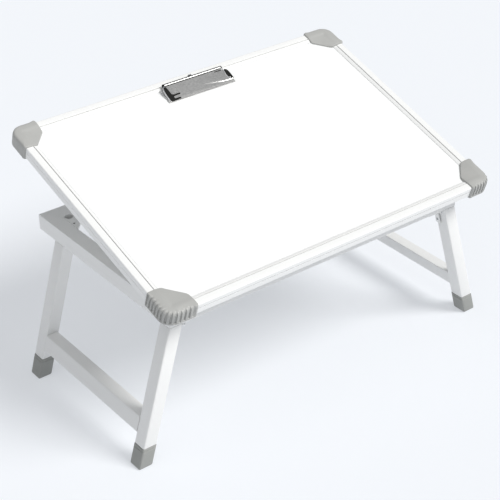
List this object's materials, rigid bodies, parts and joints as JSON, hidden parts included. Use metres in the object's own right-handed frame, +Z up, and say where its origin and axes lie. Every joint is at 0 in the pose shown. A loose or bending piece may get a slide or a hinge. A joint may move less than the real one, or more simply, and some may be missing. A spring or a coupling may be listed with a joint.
{
  "type": "portable drawing board",
  "caption": "Small white drawing board that tilts on a box-rail frame, with a sprung paper clip, grey corner caps and splayed legs that fold under on each side.",
  "frame": {"origin": "on the floor, below the centre of the bounding box", "axes": "+Z up, +X to the right along the width of the board, +Y from the low front edge to the raised back edge"},
  "size_m": [0.5356, 0.3228, 0.3169],
  "materials": {
    "dry_erase_sheet": "satin white dry-erase sheet",
    "board_core": "pale board core",
    "white_profile": "satin white edge profile",
    "white_paint": "satin white powder coat",
    "grey_plastic": "moulded mid grey",
    "foot_plastic": "matt mid grey",
    "black_plastic": "moulded black",
    "chrome": "bright plate",
    "zinc_steel": "zinc plated"
  },
  "bodies": {
    "base": {"side_rail_left": "white_paint", "side_rail_right": "white_paint", "front_rail": "white_paint", "rear_rail": "white_paint", "corner_plate_front_left": "white_paint", "corner_plate_front_right": "white_paint", "corner_plate_rear_left": "white_paint", "corner_plate_rear_right": "white_paint", "base_hinge_left": "zinc_steel", "base_hinge_right": "zinc_steel", "hinge_pin_left": "zinc_steel", "hinge_pin_right": "zinc_steel", "stay_track_left": "zinc_steel", "stay_track_right": "zinc_steel", "left_front_hinge_plate": "white_paint", "left_front_hinge_pin": "zinc_steel", "left_rear_hinge_plate": "white_paint", "left_rear_hinge_pin": "zinc_steel", "right_front_hinge_plate": "white_paint", "right_front_hinge_pin": "zinc_steel", "right_rear_hinge_plate": "white_paint", "right_rear_hinge_pin": "zinc_steel"},
    "board": {"writing_surface": "dry_erase_sheet", "board_core": "board_core", "profile_front": "white_profile", "profile_back": "white_profile", "profile_left": "white_profile", "profile_right": "white_profile", "corner_cap_front_left": "grey_plastic", "corner_cap_front_right": "grey_plastic", "corner_cap_back_left": "grey_plastic", "corner_cap_back_right": "grey_plastic", "board_hinge_left": "zinc_steel", "board_hinge_right": "zinc_steel", "stay_bracket_left": "zinc_steel", "stay_bracket_right": "zinc_steel", "stay_pin_left": "zinc_steel", "stay_pin_right": "zinc_steel", "clip_base": "chrome", "clip_pin": "zinc_steel"},
    "stay": {"stay_arm_left": "zinc_steel", "stay_arm_right": "zinc_steel", "stay_rod": "zinc_steel", "stay_knob_left": "black_plastic", "stay_knob_right": "black_plastic"},
    "clip": {"clip_lever": "chrome"},
    "left_legs": {"left_front_leg": "white_paint", "left_rear_leg": "white_paint", "left_stretcher": "white_paint", "left_front_foot": "foot_plastic", "left_rear_foot": "foot_plastic", "left_front_hinge_leaf": "white_paint", "left_rear_hinge_leaf": "white_paint"},
    "right_legs": {"right_front_leg": "white_paint", "right_rear_leg": "white_paint", "right_stretcher": "white_paint", "right_front_foot": "foot_plastic", "right_rear_foot": "foot_plastic", "right_front_hinge_leaf": "white_paint", "right_rear_hinge_leaf": "white_paint"}
  },
  "joints": [
    {"name": "board_tilt", "type": "hinge", "parent": "base", "child": "board", "pos_m": [0, -0.11643, 0.201], "axis": [1, 0, 0], "range_deg": [-17.5, 17.5]},
    {"name": "stay_fold", "type": "hinge", "parent": "board", "child": "stay", "pos_m": [0, 0.013, 0.2481], "axis": [-1, 0, 0], "range_deg": [-38.6, 38.6]},
    {"name": "clip_open", "type": "hinge", "parent": "board", "child": "clip", "pos_m": [0.011, 0.14112, 0.31398], "axis": [-1, 0, 0], "range_deg": [0, 30], "stiffness_Nm_per_rad": 0.4, "springref_deg": -28.65},
    {"name": "left_legs_fold", "type": "hinge", "parent": "base", "child": "left_legs", "pos_m": [-0.196, -0.00593, 0.1713], "axis": [0, -1, 0], "range_deg": [0, 106]},
    {"name": "right_legs_fold", "type": "hinge", "parent": "base", "child": "right_legs", "pos_m": [0.196, -0.00593, 0.1713], "axis": [0, 1, 0], "range_deg": [0, 106]}
  ],
  "couplings": [
    {"joint": "stay_fold", "follows": "board_tilt", "ratio": 2.2}
  ]
}
